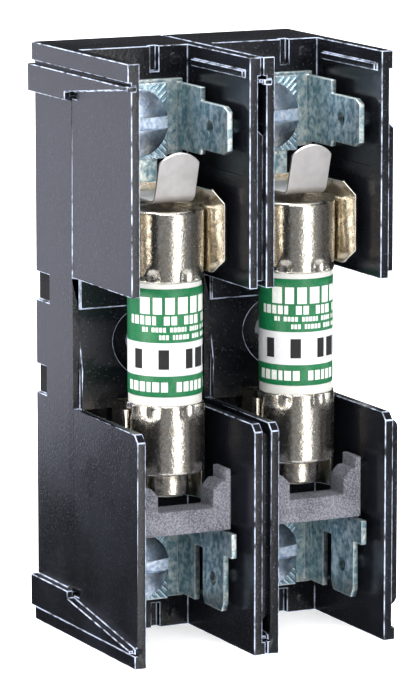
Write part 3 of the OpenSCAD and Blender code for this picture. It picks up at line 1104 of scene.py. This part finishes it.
@dataclass
class CartridgeFuse(PolePart):
    """One fuse: tube, wrap, crimped caps, rejection tip, element and sand. Angles are in radians."""

    rows: tuple[PrintRow, ...] = (
        PrintRow(7.0 * MM, 2.2 * MM, -66), PrintRow(5.05 * MM, 1.15 * MM, -86),
        PrintRow(3.85 * MM, 0.62 * MM, -62), PrintRow(2.85 * MM, 0.62 * MM, -34),
        PrintRow(-0.1 * MM, 2.6 * MM, -77, True), PrintRow(-3.75 * MM, 1.3 * MM, -92),
    )
    turns: int = 112
    tube_bore: float = 3.6 * MM
    tube_rows: int = 16
    wrap_overlap: float = 0.02 * MM
    lip: float = 0.05 * MM
    crimps: int = 7
    crimp_start: float = 0.52
    crimp_inward: float = 0.75 * MM
    crimp_depth: float = 0.3 * MM
    crimp_width: float = 0.14
    crimp_height: float = 0.85 * MM
    cap_wall: float = 0.3 * MM
    cap_end: float = 0.5 * MM
    cap_rows: int = 40
    shoulder: float = 0.55 * MM
    rim: float = 0.14 * MM
    tip_rounding: float = 0.35 * MM
    tip_neck: float = 0.1 * MM
    tip_neck_height: float = 0.12 * MM
    core_edge: float = 0.03 * MM
    body: str = field(init=False)
    axis: Vector = field(init=False)

    def __post_init__(self) -> None:
        """Reads the fuse's place from the frame."""
        self.body = f"{self.pole}_fuse"
        self.axis = middle(f"{self.body}_tube")

    def build(self, finishes: Finishes) -> None:
        """Builds and dresses every piece of the fuse.

        Args:
            finishes: The materials.
        """
        self._sleeve("tube", finishes.tube, "fuse_tube", self.tube_bore)
        self._sleeve("label", finishes.wrap, "fuse_label", self._radius("tube") - self.wrap_overlap)
        for dark, ink, name in ((False, finishes.white_ink, "pale"), (True, finishes.black_ink, "dark")):
            form = Form()
            for n, row in enumerate(self.rows):
                if row.dark == dark:
                    row.print_on(form, self.axis, self._radius("label"), n)
            form.piece(f"{self.body}_{name}_print", ink, self.body, "fuse_label")
        self._cap("upper_cap", -1, finishes)
        self._cap("lower_cap", 1, finishes)
        self._tip(finishes)
        for part, material, slot in (("element", finishes.copper, "element_copper"),
                                     ("filler", finishes.sand, "filler_sand")):
            node = f"{self.body}_{part}"
            Form.of_node(node).bevel(self.core_edge, 1).piece(f"{node}_core", material, self.body, slot, node)

    def _radius(self, part: str) -> float:
        """Gives the radius of one of the fuse's round parts."""
        low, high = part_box(f"{self.body}_{part}")
        return (high.x - low.x) / 2

    def _sleeve(self, part: str, material: bpy.types.Material, slot: str, bore: float) -> None:
        """Makes a plain sleeve in place of a CAD node.

        Args:
            part: The node's name after the fuse's.
            material: Its material.
            slot: The record's material slot.
            bore: Its inner radius.
        """
        node = f"{self.body}_{part}"
        low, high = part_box(node)
        outer, rows = self._radius(part), self.tube_rows
        lip = min(self.lip, (outer - bore) / 2)
        wall = [(outer, low.z + lip + (high.z - low.z - 2 * lip) * i / rows) for i in range(rows + 1)]
        profile = [(bore, low.z), (outer - lip, low.z), *wall, (outer - lip, high.z), (bore, high.z)]
        Form().lathe(profile, self.axis, self.turns).piece(f"{node}_sleeve", material, self.body, slot, node)

    def _crimp(self, mouth: float, way: int) -> Callable[[float, float], float]:
        """Gives the dents pressed in near a cap's open end.

        Args:
            mouth: The height of the open end.
            way: 1 where the open end is the upper one and -1 where it is the lower one.

        Returns:
            The dent's depth at an angle and a height.
        """
        centre = mouth - way * self.crimp_inward

        def dent(angle: float, height: float) -> float:
            """Gives the dent's depth."""
            step = 2 * math.pi / self.crimps
            across = ((angle + self.crimp_start + step / 2) % step - step / 2) / self.crimp_width
            along = (height - centre) / self.crimp_height
            return self.crimp_depth * math.exp(-(across ** 4) - (along ** 4))
        return dent

    def _cap(self, part: str, way: int, finishes: Finishes) -> None:
        """Makes one end cap with a rounded shoulder and crimps at its rim.

        Args:
            part: The node's name after the fuse's.
            way: 1 where the open end is the upper one and -1 where it is the lower one.
            finishes: The materials.
        """
        node = f"{self.body}_{part}"
        low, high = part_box(node)
        outer, rows = self._radius(part), self.cap_rows
        inner = outer - self.cap_wall
        shut, mouth = (low.z, high.z) if way > 0 else (high.z, low.z)
        bottom = shut + way * self.cap_end
        profile = [(0, shut), (outer / 2, shut)]
        profile += [(outer - self.shoulder * (1 - sine), shut + way * self.shoulder * (1 - cosine))
                    for cosine, sine in quarter_turn()]
        start, stop = shut + way * self.shoulder, mouth - way * self.rim
        profile += [(outer, start + (stop - start) * i / rows) for i in range(1, rows + 1)]
        profile += [(outer - self.rim, mouth), (inner, mouth), (inner, bottom), (0, bottom)]
        form = Form().lathe(profile, self.axis, self.turns, self._crimp(mouth, way), closed=False)
        form.piece(f"{node}_shell", finishes.cap, self.body, "cap_nickel", node)

    def _tip(self, finishes: Finishes) -> None:
        """Makes the rejection tip with rounded edges.

        Args:
            finishes: The materials.
        """
        node = f"{self.body}_tip"
        low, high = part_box(node)
        outer = self._radius("tip")
        neck, under_neck = outer - self.tip_neck, high.z - self.tip_neck_height
        profile = [(0, high.z), (neck, high.z), (neck, under_neck), (outer, under_neck - self.tip_neck)]
        profile += [(outer - self.tip_rounding * (1 - cosine), low.z + self.tip_rounding * (1 - sine))
                    for cosine, sine in quarter_turn()]
        profile += [(outer / 2, low.z), (0, low.z)]
        Form().lathe(profile, self.axis, self.turns, closed=False).piece(
            f"{node}_plug", finishes.cap, self.body, "cap_nickel", node)


@dataclass(frozen=True)
class Lamp:
    """One area light above the block, turned to it, that the camera doesn't see."""

    name: str
    width: float
    height: float
    glow: float
    at: Triple = (0.0, 0.0, 0.0)
    colour: Colour = WHITE

    def place(self) -> tuple[Vector, Euler]:
        """Gives where the light stands and how it is turned."""
        at = Vector(self.at)
        return at, (-at).to_track_quat("-Z", "Y").to_euler()

    def hang(self) -> None:
        """Adds the light. Its glow is how bright its face is."""
        data = bpy.data.lights.new(self.name, "AREA")
        data.shape, data.size, data.size_y = "RECTANGLE", self.width, self.height
        data.energy, data.color = self.glow * math.pi * self.width * self.height, self.colour
        lamp = bpy.data.objects.new(self.name, data)
        lamp.location, lamp.rotation_euler = self.place()
        lamp.visible_camera = False
        bpy.context.scene.collection.objects.link(lamp)


@dataclass(frozen=True)
class Softbox(Lamp):
    """One upright light beside the block, with its bearing and its roll in degrees."""

    bearing: float = 0.0
    reach: float = 0.30
    bottom: float = -0.10
    roll: float = 0.0

    def place(self) -> tuple[Vector, Euler]:
        """Gives where the light stands and how it is turned."""
        bearing = math.radians(self.bearing)
        at = Vector((self.reach * math.sin(bearing), -self.reach * math.cos(bearing),
                     self.bottom + self.height / 2))
        facing = Vector((-at.x, -at.y, 0)).to_track_quat("-Z", "Y").to_matrix()
        return at, (facing @ Matrix.Rotation(math.radians(self.roll), 3, "Z")).to_euler()


@dataclass(frozen=True)
class Surrounding:
    """A part of the reflected surrounding: which way it lies, where it fades in and how bright it is."""

    way: Triple
    fade: Span
    glow: float

    def shine(self, graph: Graph, place: Wire, air_glow: float) -> Wire:
        """Gives the part's brightness.

        Args:
            graph: The world's nodes.
            place: The direction that is seen.
            air_glow: The brightness away from the part.

        Returns:
            The brightness.
        """
        nearness = graph.wire("ShaderNodeVectorMath", "Value", {"operation": "DOT_PRODUCT"},
                              {0: place, 1: Vector(self.way).normalized()})
        return nearness.ramp(self.fade, (air_glow, self.glow))


@dataclass
class Studio:
    """Pale floor, soft lights and the camera."""

    camera_at: Triple = (-0.2613, -0.5503, 0.1040)
    aim: Triple = (-0.00378, -0.020, -0.00043)
    lens: float = 232.4
    clip: Span = (0.01, 20.0)
    floor_half: float = 3.0
    floor_colour: Colour = (0.95, 0.95, 0.95)
    floor_shade: Colour = (0.93, 0.93, 0.93)
    floor_cloud: float = 0.2
    floor_roughness: float = 0.7
    floor_glow: float = 0.6
    air_colour: Colour = (0.97, 0.98, 1.0)
    air_glow: float = 0.015
    front: Surrounding = Surrounding(way=(-0.35, -0.93, 0.0), fade=(-0.2, 0.6), glow=0.2)
    table: Surrounding = Surrounding(way=(0.0, 0.0, -1.0), fade=(0.3, 0.62), glow=0.9)
    lamps: tuple[Lamp, ...] = (
        Lamp("overhead_front", 0.35, 0.35, glow=5.5, at=(-0.12, -0.28, 0.55)),
        Lamp("overhead_back", 0.9, 0.9, glow=6.0, at=(0.05, 0.35, 0.9)),
        Softbox("key", 0.085, 0.30, glow=3.2, colour=(1.0, 0.99, 0.97), bearing=9, reach=0.24),
        Softbox("back_left", 0.17, 0.17, glow=1.4, colour=(0.82, 0.84, 1.0), bearing=-151, reach=0.16,
                bottom=-0.036, roll=31),
        Softbox("left", 0.2, 0.30, glow=4.0, colour=(1.0, 0.97, 0.92), bearing=-79),
        Softbox("right", 0.1, 0.30, glow=2.5, colour=(0.94, 0.97, 1.0), bearing=75),
    )

    def build(self) -> None:
        """Builds the floor, the lights and the camera."""
        self._floor()
        self._world()
        for lamp in self.lamps:
            lamp.hang()
        self._camera()
        bpy.context.scene.view_settings.view_transform = "Standard"

    def _floor(self) -> None:
        """Makes a wide floor with walls. It is left out of reflections, which show only the lights."""
        low = CAD_BOX[0]
        data = bpy.data.meshes.new("floor")
        mesh = bmesh.new()
        corners = [(-1, -1), (1, -1), (1, 1), (-1, 1)]
        levels = [[mesh.verts.new((x * self.floor_half, y * self.floor_half, z)) for x, y in corners]
                  for z in (low.z, low.z + self.floor_half)]
        mesh.faces.new(levels[0])
        for i in range(len(corners)):
            mesh.faces.new([levels[0][i - 1], levels[0][i], levels[1][i], levels[1][i - 1]])
        mesh.to_mesh(data)
        mesh.free()
        floor = bpy.data.objects.new("floor", data)
        floor.visible_glossy = False
        bpy.context.scene.collection.objects.link(floor)
        surface = Surface("pale_floor")
        cloud = surface.noise(self.floor_cloud, 2)
        surface.set(
            Base_Color=surface.mix(self.floor_colour, self.floor_shade, cloud),
            Roughness=self.floor_roughness,
            Emission_Color=WHITE,
            Emission_Strength=self.floor_glow,
        )
        data.materials.append(surface.material)

    def _world(self) -> None:
        """Makes the reflected surrounding dim behind, a little brighter in front and bright below."""
        world = bpy.data.worlds.new("studio")
        world.use_nodes = True
        background = world.node_tree.nodes["Background"]
        graph = Graph(world.node_tree)
        place = graph.wire("ShaderNodeTexCoord", "Generated")
        front, table = (part.shine(graph, place, self.air_glow) for part in (self.front, self.table))
        graph.feed(background.inputs["Strength"], front + table)
        graph.feed(background.inputs["Color"], self.air_colour)
        bpy.context.scene.world = world

    def _camera(self) -> None:
        """Places the camera and makes it the scene's own."""
        data = bpy.data.cameras.new("camera")
        data.lens = self.lens
        data.clip_start, data.clip_end = self.clip
        camera = bpy.data.objects.new("camera", data)
        camera.location = self.camera_at
        aim = Vector(self.aim) - Vector(self.camera_at)
        camera.rotation_euler = aim.to_track_quat("-Z", "Y").to_euler()
        bpy.context.scene.collection.objects.link(camera)
        bpy.context.scene.camera = camera


@dataclass
class FuseBlock:
    """The whole block, pole by pole."""

    finishes: Finishes = field(default_factory=Finishes)

    def build(self) -> None:
        """Builds every piece of both poles."""
        for side in Side:
            parts = [PoleMoulding(side), RejectionFrame(side), EndSpring(side), Rivets(side),
                     CartridgeFuse(side)]
            for end in End:
                parts += [Terminal(side, end), SpringClip(side, end), WireClamp(side, end)]
            for part in parts:
                part.build(self.finishes)


def main() -> None:
    """Builds the block and the studio round it."""
    logging.basicConfig(level=logging.INFO, format="%(name)s: %(message)s")
    FuseBlock().build()
    Studio().build()


if __name__ == "__main__":
    main()
